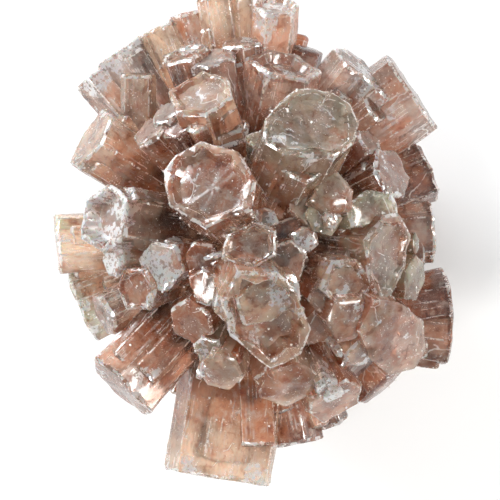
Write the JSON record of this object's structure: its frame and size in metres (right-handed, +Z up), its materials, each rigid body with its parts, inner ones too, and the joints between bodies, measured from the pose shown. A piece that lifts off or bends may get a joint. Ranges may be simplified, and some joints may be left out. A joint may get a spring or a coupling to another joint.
{
  "type": "aragonite cluster",
  "caption": "Ball-shaped cluster of translucent pink-brown aragonite prisms that radiate from one heart, with flat, hollow and rounded ends.",
  "frame": {"origin": "the middle of the flat crystal end that the cluster rests on", "axes": "+Z up, from the resting end through the heart of the cluster to the side that faces the viewer; the cluster is longest along Y; -Y points towards the big flat prism"},
  "size_m": [0.0501, 0.0616, 0.0477],
  "materials": {
    "aragonite": "translucent pink-brown crystal with a glassy surface, rusty iron stains near the roots and striated sides"
  },
  "bodies": {
    "root": {"crystal_cluster": "aragonite"}
  },
  "joints": []
}
